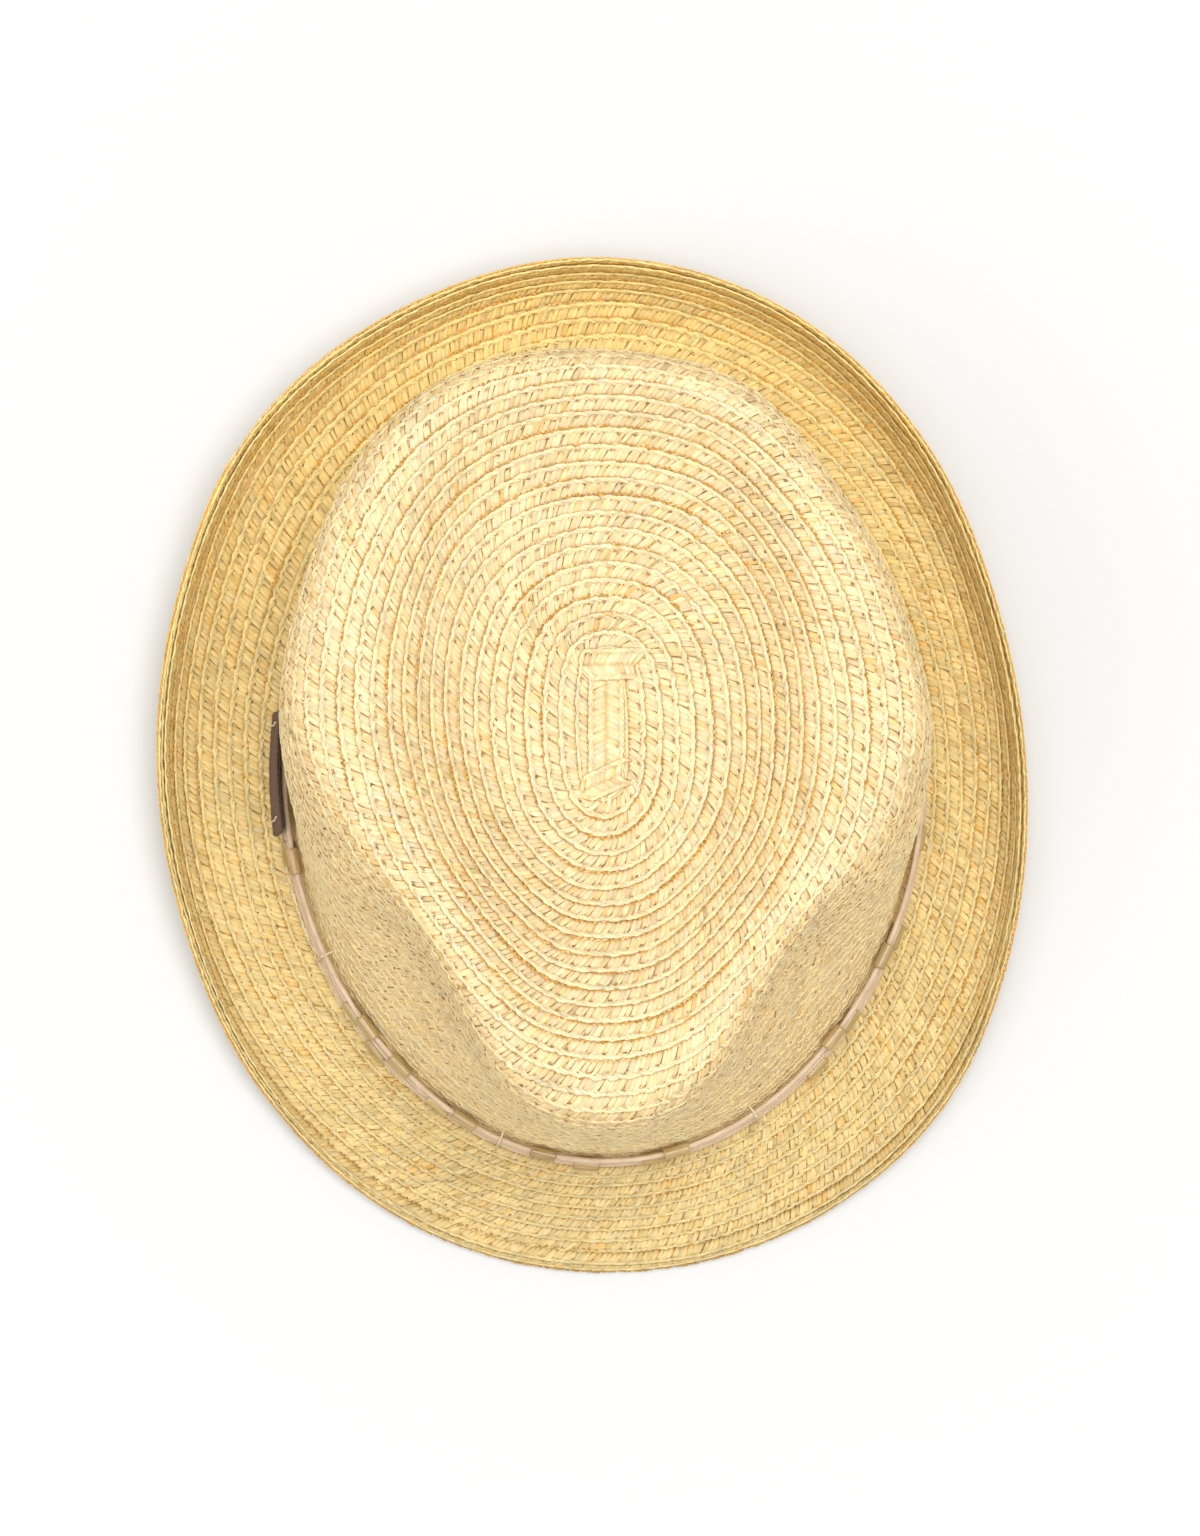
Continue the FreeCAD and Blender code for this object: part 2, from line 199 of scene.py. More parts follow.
def clamped_basis(count, shares, degree=3):
    """Weights of the poles of a clamped spline at each share of its length."""
    inner = np.linspace(0, 1, count - degree + 1)
    knots = np.concatenate([np.zeros(degree), inner, np.ones(degree)])
    x = np.clip(shares, 0, 1 - 1e-9)[:, None]
    found = ((knots[:-1] <= x) & (x < knots[1:])).astype(float)
    for d in range(1, degree + 1):
        rise = knots[d:] - knots[:-d]
        safe = np.where(rise > 0, rise, 1)
        up = np.where(rise > 0, (x - knots[:-d]) / safe, 0)
        down = np.where(rise > 0, (knots[d:] - x) / safe, 0)
        found = up[:, :-1] * found[:, :-1] + down[:, 1:] * found[:, 1:]
    return found


def round_basis(count, angles):
    """Weights of the poles of a closed spline at each angle."""
    place = angles / TAU * count
    i = np.floor(place).astype(int)
    t = place - i
    weights = [
        (1 - t) ** 3, 3 * t ** 3 - 6 * t ** 2 + 4, -3 * t ** 3 + 3 * t ** 2 + 3 * t + 1, t ** 3]
    found = np.zeros((len(angles), count))
    for k, weight in zip((-1, 0, 1, 2), weights):
        np.add.at(found, (np.arange(len(angles)), (i + k) % count), weight / 6)
    return found


def pressed(share):
    """Pushes values between -1 and 1 towards those ends."""
    return 1.5 * share - 0.5 * share ** 3


def crown_poles():
    angle = np.arange(POLES) * TAU / POLES
    place = START_Y + START_HALF_LENGTH * pressed(pressed(np.cos(angle)))
    a = np.stack([np.full(POLES, CENTRE_X + START_X), CENTRE_Y + place], axis=-1)
    s = np.stack([
        CENTRE_X + smooth(SHOULDER_X, angle), CENTRE_Y + smooth(SHOULDER_Y, angle)
    ], axis=-1)
    b = base(angle)
    foot = smooth(even(DENT_FOOT), angle)
    head = smooth(even(DENT_HEAD), angle)
    ridge_z = smooth(even(RIDGE_Z), angle)
    pinch = smooth(even(PINCH), angle)
    around = BRAID_HALF_WIDTH * np.stack([np.sin(angle), np.cos(angle)], axis=-1)
    top = [
        (foot / 2, FLOOR_Z),
        (foot, smooth(even(DENT_FOOT_Z), angle)),
        (head, smooth(even(DENT_HEAD_Z), angle)),
        ((head + RIDGE_END) / 2, ridge_z + 1),
        (RIDGE_END, ridge_z),
        (1, ridge_z - SHOULDER_DROP),
    ]
    poles = [at_height(a + around, FLOOR_Z)]
    poles += [at_height(mix(a, s, share), z) for share, z in top]
    wall_foot = THICK + BASE_FLARE_HEIGHT
    for share, press in WALL_ROWS:
        plan = mix(s, b, share) - oval_normal(angle) * (pinch * press)[:, None]
        poles.append(at_height(plan, (ridge_z - SHOULDER_DROP) * (1 - share) + wall_foot * share))
    poles.append(at_height(base(angle, 0.2 * BASE_FLARE), THICK + 0.5 * BASE_FLARE_HEIGHT))
    poles.append(at_height(base(angle, BASE_FLARE), THICK))
    return np.array(poles)


def curl_poles():
    angle = np.arange(POLES) * TAU / POLES
    inner = base(angle, BASE_FLARE)
    reach = smooth(BRIM_REACH, angle)[:, None]
    edge = reach * np.stack([np.sin(angle), np.cos(angle)], axis=-1)
    start = mix(inner, edge, smooth(even(BRIM_FLAT), angle))
    lift = smooth(even(BRIM_LIFT), angle)
    return np.array([at_height(mix(start, edge, share), lift * rise) for share, rise in CURL])


def grid_normals(points):
    """Unit normals of a grid of rows that close round the hat, on its upper or outer side."""
    across = np.roll(points, -1, axis=1) - np.roll(points, 1, axis=1)
    return unit(np.cross(across, np.gradient(points, axis=0)))


def along_poles(poles, samples):
    weights = clamped_basis(len(poles), np.linspace(0, 1, samples))
    return np.einsum("sp,pak->sak", weights, poles)


def round_samples(points):
    weights = round_basis(POLES, np.arange(FINE) * TAU / FINE)
    return np.einsum("fa,sak->sfk", weights, points)


def lengths_along(line):
    """How far along its line each point is. A second axis holds more lines."""
    steps = np.linalg.norm(np.diff(line, axis=0), axis=-1)
    return np.concatenate([np.zeros_like(steps[:1]), np.cumsum(steps, axis=0)])


def resample(line, places):
    """The points of each angle's line at these shares of its length."""
    run = lengths_along(line)
    found = np.empty((places.shape[0], line.shape[1], 3))
    for i in range(line.shape[1]):
        for k in range(3):
            found[:, i, k] = np.interp(places[:, i] * run[-1, i], run[:, i], line[:, i, k])
    return found, run


def soften(line, reach):
    """Rounds each angle's line off over this distance, keeping its two ends."""
    evenly = np.repeat(np.linspace(0, 1, SOFTEN_SAMPLES)[:, None], line.shape[1], axis=1)
    points, run = resample(line, evenly)
    sigma = reach / (run[-1].mean() / (SOFTEN_SAMPLES - 1))
    half = int(4 * sigma)
    kernel = np.exp(-0.5 * (np.arange(-half, half + 1) / sigma) ** 2)
    kernel /= kernel.sum()
    before = 2 * points[:1] - points[half:0:-1]
    after = 2 * points[-1:] - points[-2:-half - 2:-1]
    padded = np.concatenate([before, points, after])
    return sum(w * padded[i:i + len(points)] for i, w in enumerate(kernel))


class Skin:
    """One face of the hat, addressed by angle and row."""

    def __init__(self, points, normals):
        self.points = points
        self.normals = normals

    def at(self, angle, row):
        """Points and normals at these angles and rows."""
        i = (angle / TAU * FINE) % FINE
        j = np.clip(row * PER_ROW, 0, len(self.points) - 1.001)
        i0, j0 = np.floor(i).astype(int), np.floor(j).astype(int)
        fi, fj = (i - i0)[..., None], (j - j0)[..., None]
        i1 = (i0 + 1) % FINE
        found = []
        for grid in (self.points, self.normals):
            low = grid[j0, i0 % FINE] * (1 - fi) + grid[j0, i1] * fi
            high = grid[j0 + 1, i0 % FINE] * (1 - fi) + grid[j0 + 1, i1] * fi
            found.append(low * (1 - fj) + high * fj)
        return found[0], unit(found[1])


def make_skins():
    """The hat's outer face from the middle of the crown to the brim's edge, and its inner face."""
    crown = along_poles(along_poles(crown_poles(), CROWN_POLES), CROWN_SAMPLES)
    under = along_poles(curl_poles(), CURL_POLES)
    facing = grid_normals(under)
    facing[0] = (0, 0, 1)
    curl = along_poles(under + facing * THICK, CURL_SAMPLES)
    line = round_samples(np.concatenate([crown, curl]))
    run = lengths_along(line)
    foot = run[len(crown) - 1] / run[-1]
    rows = np.arange(ROWS * PER_ROW + 1)[:, None] / PER_ROW
    places = np.where(
        rows <= CROWN_ROWS, foot * rows / CROWN_ROWS,
        foot + (1 - foot) * (rows - CROWN_ROWS) / BRIM_ROWS)
    points, _ = resample(soften(line, FOOT_ROUNDING), places)
    normals = grid_normals(points)
    normals[0] = (0, 0, 1)
    return Skin(points, normals), Skin(points - normals * THICK, -normals)


outer, inner = make_skins()


# ---- Meshes ----

def make_mesh(name, points, faces, body="hat", slot=None, replaces=(), material=None,
              attributes=(), bake=None):
    """A smooth-shaded piece from points in millimetres and four-cornered faces."""
    mesh = bpy.data.meshes.new(name)
    points = np.asarray(points, float).reshape(-1, 3)
    faces = np.asarray(faces).reshape(-1, 4)
    mesh.vertices.add(len(points))
    mesh.vertices.foreach_set("co", (points * MM).astype(np.float32).ravel())
    mesh.loops.add(faces.size)
    mesh.loops.foreach_set("vertex_index", faces.astype(np.int32).ravel())
    mesh.polygons.add(len(faces))
    mesh.polygons.foreach_set("loop_start", np.arange(0, faces.size, 4, dtype=np.int32))
    mesh.update(calc_edges=True)
    mesh.shade_smooth()
    for title, values in attributes:
        is_colour = values.shape[-1] == 4
        kind, key = ("FLOAT_COLOR", "color") if is_colour else ("FLOAT_VECTOR", "vector")
        layer = mesh.attributes.new(title, kind, "POINT")
        layer.data.foreach_set(key, values.astype(np.float32).ravel())
    if bake is not None:
        layer = mesh.uv_layers.new(name="OFBake")
        layer.uv.foreach_set("vector", bake.astype(np.float32).ravel())
    piece = bpy.data.objects.new(name, mesh)
    scene.collection.objects.link(piece)
    if material:
        mesh.materials.append(material)
    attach(piece, body)
    if replaces:
        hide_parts(*replaces)
    return piece


def loop_faces(rings, corners):
    """Faces of a grid that closes both round its rings and along them."""
    i, k = np.indices((rings, corners))
    j, n = (i + 1) % rings, (k + 1) % corners
    return np.stack([
        i * corners + k, i * corners + n, j * corners + n, j * corners + k
    ], axis=-1).reshape(-1, 4)


def tube_faces(rings, corners):
    """Faces of one tube of rings, with open ends."""
    return loop_faces(rings, corners)[:(rings - 1) * corners]


# A strand's section: flat below, crowned above, as shares of its width and thickness
SECTION = np.array([(0.5, -0.5), (0.33, 0.5), (-0.33, 0.5), (-0.5, -0.5)])
CREVICE_PAINTED_SHADE = (0.98, 0.78, 0.46, 1)          # painted shade: darker, more golden lower corners where others cover it
SECTION_PAINTED_SHADE = np.array([CREVICE_PAINTED_SHADE, (1, 1, 1, 1), (1, 1, 1, 1), CREVICE_PAINTED_SHADE])
BAKE_MARGIN = 0.06                       # round each strand's own cell of the baked image


def strand_piece(name, lines, tints, material, slot, replaces):
    """Many closed strands of folded paper, each along its own line, as one piece.

    lines is points, normals, widths and places along the braid for strands x rings; tints is
    a colour for each of those rings."""
    points, up, width, along = lines
    count, rings = points.shape[:2]
    ahead = unit(np.gradient(points, axis=1))
    side = unit(np.cross(ahead, up))
    lift = np.cross(side, ahead)
    wide, tall = width[..., None] * SECTION[:, 0], STRAND_THICK * SECTION[:, 1:]
    ring = points[:, :, None] + side[:, :, None] * wide[..., None] + lift[:, :, None] * tall
    one = np.concatenate([
        tube_faces(rings, 4), [[3, 2, 1, 0]], np.arange(4)[None] + (rings - 1) * 4
    ])
    faces = one[None] + (np.arange(count) * rings * 4)[:, None, None]

    grain = stacked(along[..., None], wide, rng.random(count)[:, None, None] * 50)
    # painted shade in the crevices: lower corners darker where other strands cover them
    covered = 1 - (EDGE_PART if rings == len(EDGE_PART) else EDGE_PART[INNER_PART])
    tint = tints[:, :, None] * (1 + covered[:, None, None] * (SECTION_PAINTED_SHADE - 1))

    cells = math.ceil(math.sqrt(count))
    i, k = np.indices((rings - 1, 4))
    lengths = np.stack([i, i, i + 1, i + 1], axis=-1).reshape(-1, 4) / (rings - 1)
    turns = np.stack([k, k + 1, k + 1, k], axis=-1).reshape(-1, 4) / 4
    lengths = np.concatenate([lengths, [[0, 0, 0, 0], [1, 1, 1, 1]]])
    turns = np.concatenate([turns, [[0.75, 0.5, 0.25, 0]] * 2])
    local = BAKE_MARGIN + (1 - 2 * BAKE_MARGIN) * np.stack([lengths, turns], axis=-1)
    corner = np.stack([np.arange(count) % cells, np.arange(count) // cells], axis=-1)
    bake = (corner[:, None, None] + local[None]) / cells
    return make_mesh(
        name, ring, faces, slot=slot, replaces=replaces, material=material,
        attributes=[("grain", grain), ("tint", tint)], bake=bake)


# ---- Materials ----

CROWN_COLOUR = (0.81, 0.68, 0.43)
BRIM_COLOUR = (0.87, 0.65, 0.32)
BACKING_COLOUR = (0.92, 0.70, 0.36)
FLOOR_GREY = 0.69
WHITE = (1.0, 1.0, 1.0)


class Finish:
    """A new material: one shader, and the textures that give it its colour and relief."""

    def __init__(self, name, **values):
        self.material = bpy.data.materials.new(name)
        self.material.use_nodes = True
        tree = self.material.node_tree
        self.nodes, self.links = tree.nodes, tree.links
        self.nodes.clear()
        self.shader = self.nodes.new("ShaderNodeBsdfPrincipled")
        output = self.nodes.new("ShaderNodeOutputMaterial")
        self.links.new(self.shader.outputs[0], output.inputs[0])
        for title, value in values.items():
            self.shader.inputs[title.replace("_", " ")].default_value = value

    def node(self, kind, vector=None, **values):
        """A node of this kind, with a vector linked to it and some of its inputs set."""
        node = self.nodes.new(f"ShaderNode{kind}")
        for title, value in values.items():
            node.inputs[title].default_value = value
        if vector is not None:
            self.links.new(vector, node.inputs["Vector"])
        return node

    def attribute(self, name, output="Vector"):
        node = self.node("Attribute")
        node.attribute_name = name
        return node.outputs[output]

    def place(self):
        return self.node("TexCoord").outputs["Object"]

    def noise(self, vector, scale, detail=2.0, rough=0.5, stretch=None):
        if stretch:
            vector = self.node("Mapping", vector, Scale=stretch).outputs[0]
        node = self.node("TexNoise", vector, Scale=scale, Detail=detail, Roughness=rough)
        return node.outputs["Fac"]

    def wave(self, vector, direction, scale, distortion=0.0):
        node = self.node("TexWave", vector, Scale=scale, Distortion=distortion)
        node.bands_direction = direction
        return node.outputs["Fac"]

    def ramp(self, value, *stops):
        """A colour for each value, between stops of a place and a colour."""
        node = self.node("ValToRGB")
        self.links.new(value, node.inputs[0])
        elements = node.color_ramp.elements
        while len(elements) < len(stops):
            elements.new(0.5)
        for element, (place, colour) in zip(elements, stops):
            element.position = place
            element.color = (*colour, 1.0)
        return node.outputs[0]

    def multiply(self, first, second):
        node = self.node("Mix")
        node.data_type = "RGBA"
        node.blend_type = "MULTIPLY"
        node.inputs["Factor"].default_value = 1.0
        for socket, value in ((node.inputs["A"], first), (node.inputs["B"], second)):
            if isinstance(value, tuple):
                socket.default_value = (*value, 1.0)
            else:
                self.links.new(value, socket)
        return node.outputs["Result"]

    def colour(self, first, *layers):
        """Colours the surface with the product of these layers."""
        for layer in layers:
            first = self.multiply(first, layer)
        self.links.new(first, self.shader.inputs["Base Color"])

    def bump(self, height, distance, strength):
        node = self.node("Bump", Distance=distance * MM, Strength=strength)
        self.links.new(height, node.inputs["Height"])
        self.links.new(node.outputs[0], self.shader.inputs["Normal"])


def straw_material(name, colour):
    """Folded paper straw: fibres along each strand, and a tint of its own for each strand."""
    straw = Finish(name, Roughness=0.65, Specular_IOR_Level=0.12)
    grain = straw.attribute("grain")
    fibres = straw.noise(grain, 1.0, 3.0, 0.6, stretch=(0.4, 4.0, 1.0))
    streaks = straw.ramp(
        fibres, (0.32, (0.80, 0.70, 0.54)), (0.46, (0.97, 0.94, 0.88)), (0.62, WHITE))
    mottle = straw.noise(grain, 1.0, stretch=(0.9, 1.2, 1.0))
    blotches = straw.ramp(mottle, (0.35, (0.95, 0.90, 0.82)), (0.6, WHITE))
    straw.colour(straw.attribute("tint", "Color"), colour, streaks, blotches)
    straw.bump(fibres, 0.08, 0.6)
    return straw.material


def plain_straw_material(name, colour):
    """The braid's hidden layer, seen only through the gaps between strands."""
    straw = Finish(name, Roughness=0.7)
    mottle = straw.noise(straw.place(), 900.0, 3.0)
    straw.colour(straw.ramp(mottle, (0.3, (0.7, 0.66, 0.6)), (0.7, WHITE)), colour)
    straw.bump(mottle, 0.15, 0.6)
    return straw.material


def cane_material():
    """Polished cane: long fibres, darker pores and a clear gloss."""
    cane = Finish("cane", Roughness=0.28, Coat_Weight=0.25, Coat_Roughness=0.12)
    fibres = cane.noise(cane.attribute("grain"), 1.0, 4.0, 0.6, stretch=(0.16, 2.6, 1.0))
    streaks = cane.ramp(
        fibres, (0.28, (0.27, 0.17, 0.06)), (0.45, (0.43, 0.29, 0.11)), (0.66, (0.58, 0.42, 0.19)))
    cane.colour(streaks, cane.attribute("tint", "Color"))
    cane.bump(fibres, 0.05, 0.4)
    return cane.material


def lace_material():
    """A waxed lace with a fine twill of its own."""
    lace = Finish("waxed_lace", Roughness=0.5)
    grain = lace.attribute("grain")
    twill = lace.wave(grain, "DIAGONAL", 0.9, 0.6)
    mottle = lace.noise(grain, 1.0, stretch=(0.2, 0.5, 1.0))
    lace.colour(
        lace.ramp(mottle, (0.3, (0.72, 0.53, 0.35)), (0.7, (0.88, 0.70, 0.50))),
        lace.ramp(twill, (0.1, (0.8, 0.77, 0.74)), (0.6, WHITE)))
    lace.bump(twill, 0.12, 0.8)
    return lace.material


def suede_material():
    """Brown suede with a short nap and pale rubbed specks."""
    suede = Finish("suede", Roughness=0.95, Sheen_Weight=0.12, Sheen_Roughness=0.6)
    grain = suede.attribute("grain")
    nap = suede.noise(grain, 2.2, 5.0, 0.7)
    suede.colour(
        suede.ramp(nap, (0.3, (0.055, 0.022, 0.010)), (0.55, (0.13, 0.055, 0.026)),
                   (0.75, (0.22, 0.11, 0.055))),
        suede.ramp(suede.noise(grain, 1.1), (0.66, WHITE), (0.72, (2.6, 2.4, 2.2))))
    suede.bump(nap, 0.25, 0.8)
    return suede.material


def cloth_material():
    """Cream herringbone cotton tape."""
    cloth = Finish("cotton_tape", Roughness=0.9)
    grain = cloth.attribute("grain")
    weave = cloth.node("Math")
    weave.operation = "MULTIPLY"
    for k, direction in enumerate("XY"):
        cloth.links.new(cloth.wave(grain, direction, 0.55, 0.3), weave.inputs[k])
    weave = weave.outputs[0]
    mottle = cloth.noise(grain, 0.15, 3.0)
    cloth.colour(
        cloth.ramp(mottle, (0.3, (0.66, 0.58, 0.44)), (0.7, (0.78, 0.71, 0.57))),
        cloth.ramp(weave, (0.0, (0.78, 0.75, 0.7)), (0.5, WHITE)))
    cloth.bump(weave, 0.2, 0.7)
    return cloth.material


def thread_material():
    """Pale sewing thread with its plies showing."""
    thread = Finish("sewing_thread", Roughness=0.6)
    plies = thread.wave(thread.place(), "DIAGONAL", 900.0)
    thread.colour(thread.ramp(plies, (0.1, (0.55, 0.42, 0.24)), (0.7, (0.80, 0.68, 0.46))))
    thread.bump(plies, 0.05, 0.6)
    return thread.material


def seam_thread_material():
    """Sewing thread in the seams, darkened to golden brown as painted shade of the stitch holes."""
    thread = Finish("seam_thread", Roughness=0.8)
    plies = thread.noise(thread.place(), 2500.0)
    shade = thread.ramp(plies, (0.3, (0.26, 0.13, 0.045)), (0.7, (0.55, 0.34, 0.14)))
    thread.colour(shade, thread.attribute("tint", "Color"))
    return thread.material


def floor_material():
    """A pale matt studio floor, a very little uneven."""
    floor = Finish("studio_floor", Roughness=0.9, Specular_IOR_Level=0.1)
    mottle = floor.noise(floor.place(), 3.0)
    floor.colour(floor.ramp(mottle, (0.0, (FLOOR_GREY * 0.99,) * 3), (1.0, (FLOOR_GREY,) * 3)))
    return floor.material


# ---- Braid ----

# One strand of the plait: along the braid, across the row from its covered side to its free
# edge, up, and its width. It rises across the row, turns over at the edge and dives at the seam.
HOOK = np.array([
    (0.0, -0.3, -0.02, 1.70),
    (0.8, 1.0, 0.22, 1.70),
    (1.6, 2.3, 0.28, 1.64),
    (2.2, 3.3, 0.10, 1.42),
    (3.1, 4.2, 0.26, 1.15),
    (4.3, 4.35, 0.36, 1.15),
    (5.5, 3.75, 0.32, 1.05),
    (6.4, 3.05, -0.02, 0.75),
])
EDGE_PART = np.array([0, 0, 0, 0, 1, 1, 1, 1.0])  # its points that lie along the free edge
INNER_PART = [0, 1, 3, 5, 7]  # its points that are enough on the hat's inner face
PITCH = 4.6                  # the row that this strand is drawn for
STRAND_THICK = 0.28
STRAND_STEP = 1.45
SINK = -1.10                 # covered side of a row, below the hat's face
TILT = 0.58                  # how much higher the free edge lies

# How unlike the strands are: the standard deviation of each measure
PLACE_SPREAD = 0.14
LENGTH_SPREAD = 0.08
ACROSS_SPREAD = 0.10
RISE_SPREAD = 0.06
WIDTH_SPREAD = 0.10
SHADE_SPREAD = 0.075
WARMTH_SPREAD = 0.055

# Stitches, and what they do to the strands
STITCH_STEP = 4.6
STITCH_SHARE = 0.85          # of the stitches show
STITCH_RISE = -0.40
STITCH_HALF = (0.26, 0.17)   # half a stitch's width and thickness
SEAM_PLACE = 3.15            # where across the row they pull the strands down
DIMPLE_DEPTH = 0.42
DIMPLE_REACH = (0.55, 0.45)  # along and across the row
WALL_TIGHT = 0.7             # how much shallower the dimples are on the crown's walls
PULL_IN = 0.16               # how far a stitch draws the free edge in and down
PULL_DOWN = 0.10

NARROWEST = 0.14             # the least width of the spiral's first round, as a share of a row
BACKING = (-0.88, -1.4)      # the hidden layer, below the face
START_BACKING = (-0.9, -1.5)
EDGE_ROUND = (ROWS - 1.45, ROWS - 0.42)
EDGE_OVERLAP = 1.03          # turns from its start to its end

# The start strip's three runs: length and half width, and where the loose two lie on the first
START_SIZE = (2 * (START_HALF_LENGTH + BRAID_HALF_WIDTH) + 3.0, BRAID_HALF_WIDTH)
FLAP_SIZE = (17.5, 3.9)
FLAP_PLACE = (0.8, START_HALF_LENGTH + 4.4, FLAP_THICK - 0.25)
TWIST_SIZE = (13.0, 3.3)
TWIST_PLACE = (-1.2, -START_HALF_LENGTH - 2.2, 0.75)

DIVE_REACH = 1.1             # how far across the row the dive under the last one goes
DIVE_PAINTED_SHADE = np.array([0.14, 0.26, 0.46])        # painted shade: how much darker a strand is there
DIMPLE_PAINTED_SHADE = np.array([0.30, 0.42, 0.58])      # and painted shade in a dimple
EDGE_PAINTED_HIGHLIGHT = np.array([0.0, 0.06, 0.16])          # painted highlight: how much paler it is along the raised free edge
MAX_TINT = 1.12
ODD_SHARE = 0.04
ODD_TINTS = np.array([
    (1.0, 0.90, 0.74), (1.02, 0.92, 0.84), (0.94, 0.93, 0.80), (1.0, 0.86, 0.66)])
FRONT_PAINTED_SHADE = np.array([0.80, 0.87, 0.93, 1.0])   # painted light: the brim's straw darker in front and lighter behind
BACK_PAINTED_LIGHT = np.array([1.12, 1.22, 1.14, 1.0])
STEEP_PAINTED_SHADE = np.array([0.99, 0.94, 0.84, 1.0])   # painted shade: the crown's straw darker and more golden on its walls and in its dent


def waver(run, size, lengths, seed):
    """A slow wandering along the braid."""
    phases = np.random.default_rng(seed).random(len(lengths)) * TAU
    return size * sum(np.sin(run / length + p) for length, p in zip(lengths, phases)) / len(lengths)


def strand_tints(run, across, count, rings, tight=0.0, at_edge=0.0):
    """A colour for each ring of each strand, and how deep it lies in a stitch's dimple.

    A strand is darker where it dives under its neighbours and in a stitch's dimple, as painted
    shade, and paler along the free edge, as a painted highlight."""
    value = 1 + spread(SHADE_SPREAD, count, 1, 1)
    warmth = spread(WARMTH_SPREAD, count, 1, 1)
    drift = waver(run[:, :1, None], 0.05, (7.0, 13.0, 31.0), 8)
    value, warmth = value + drift, warmth - 0.5 * drift
    tint = np.concatenate([value, value * (1 - 0.4 * warmth), value * (1 - 1.5 * warmth)], axis=-1)
    tint = np.repeat(tint, rings, axis=1)
    odd_ones = rng.random(count) < ODD_SHARE
    tint[odd_ones] *= ODD_TINTS[rng.integers(0, len(ODD_TINTS), odd_ones.sum())][:, None]
    # painted shade where the strand dives under the last row
    low = np.clip(1 - across / DIVE_REACH, 0, 1)[..., None]
    tint *= 1 - low * DIVE_PAINTED_SHADE
    to_stitch = ((run / STITCH_STEP + 0.5) % 1 - 0.5) * STITCH_STEP / DIMPLE_REACH[0]
    to_seam = (across - SEAM_PLACE) / DIMPLE_REACH[1]
    dimple = np.exp(-0.5 * (to_seam ** 2 + to_stitch ** 2)) * (1 - tight)
    # painted shade in the stitches' dimples
    tint *= 1 - dimple[..., None] * DIMPLE_PAINTED_SHADE
    # painted highlight along the raised free edge
    tint *= 1 + np.asarray(at_edge)[..., None] * EDGE_PAINTED_HIGHLIGHT
    tint = np.clip(tint, 0, MAX_TINT)
    return np.concatenate([tint, np.ones((count, rings, 1))], axis=-1), dimple


def strand_lines(skin, phi, low, high, flip=False, inner_side=False, lift=0.0):
    """Centre lines of the strands of one run of braid.

    The run follows the angles phi, and lies between the rows low and high at each of them.
    Gives the strands, their tints, and the rows low and high at each of their rings."""
    shown = INNER_PART if inner_side else list(range(len(HOOK)))
    hook, at_edge = HOOK[shown], EDGE_PART[shown]
    middle, _ = skin.at(phi, np.clip((low + high) / 2, 0, ROWS))
    run = lengths_along(middle)
    pitch = np.linalg.norm(skin.at(phi, low)[0] - skin.at(phi, high)[0], axis=-1) / PITCH
    starts = np.arange(0, run[-1] - hook[:, 0].max(), STRAND_STEP)
    count, rings = len(starts), len(hook)
    starts = starts + spread(PLACE_SPREAD, count)
    along = starts[:, None] + hook[:, 0] * (1 + spread(LENGTH_SPREAD, count, 1))
    held = at_edge * (np.cos(along / STITCH_STEP * TAU) + 0.2)
    across = hook[:, 1] + spread(ACROSS_SPREAD, count, 1) - PULL_IN * held
    angle = np.interp(along, run, phi)
    near, far = np.interp(along, run, low), np.interp(along, run, high)
    narrow = np.interp(along, run, np.clip(pitch, 0.6, 1.05))
    share = across / PITCH + waver(along, 0.10, (23.0, 41.0, 9.0), 5)
    row = np.where(flip, far - share * (far - near), near + share * (far - near))
    points, up = skin.at(angle, row)
    tight = WALL_TIGHT * ((row > SHOULDER_ROW) & (row < CROWN_ROWS))
    tints, dimple = strand_tints(along, across, count, rings, tight, at_edge)
    rise = SINK + TILT * across / PITCH + hook[:, 2] - DIMPLE_DEPTH * dimple
    rise = rise + spread(RISE_SPREAD, count, 1) + waver(along, 0.08, (17.0, 31.0), 6)
    rise = rise - PULL_DOWN * held - 0.25 * at_edge * (1 - narrow)
    points = points + up * (rise + lift)[..., None]
    width = hook[:, 3] * (1 + spread(WIDTH_SPREAD, count, 1))
    width = width * np.where(at_edge > 0, narrow, 1)
    return [points, up, width, along], tints, near, far


def crown_painted_shade(tints, lines):
    """The same tints with painted shade: darker and more golden where the crown is steep."""
    steep = ((0.97 - lines[1][..., 2:]) / 0.4).clip(0, 1)
    return tints * (1 + (STEEP_PAINTED_SHADE - 1) * steep)


def brim_painted_light(tints, lines):
    """The same tints with painted light: darker at the brim's front and lighter at its back."""
    behind = 0.5 + 0.5 * lines[0][..., 1:2] / BRIM_REACH[0]
    return tints * (FRONT_PAINTED_SHADE + (BACK_PAINTED_LIGHT - FRONT_PAINTED_SHADE) * behind.clip(0, 1))


def spiral_pieces(skin, flip, groups, inner_side=False):
    """The spiral's strands, from the start strip to the brim's edge, as pieces split by row."""
    phi = np.arange(-FINE, ROWS * FINE + 1) * TAU / FINE
    low, high = np.clip(phi / TAU, 0, ROWS), np.clip(phi / TAU + 1, 0, ROWS)
    lines, tints, near, far = strand_lines(skin, phi, low, high, flip, inner_side)
    wide = (far - near).mean(axis=1) > NARROWEST
    turn = far.mean(axis=1) - 1
    for name, (first, last, *straw) in groups.items():
        part = wide & (turn >= first) & (turn < last)
        own = [a[part] for a in lines]
        # painted light on the brim from front to back, painted shade on the crown where it is steep
        shaded = brim_painted_light if "brim_straw" in straw else crown_painted_shade
        strand_piece(name, own, shaded(tints[part], own), *straw)


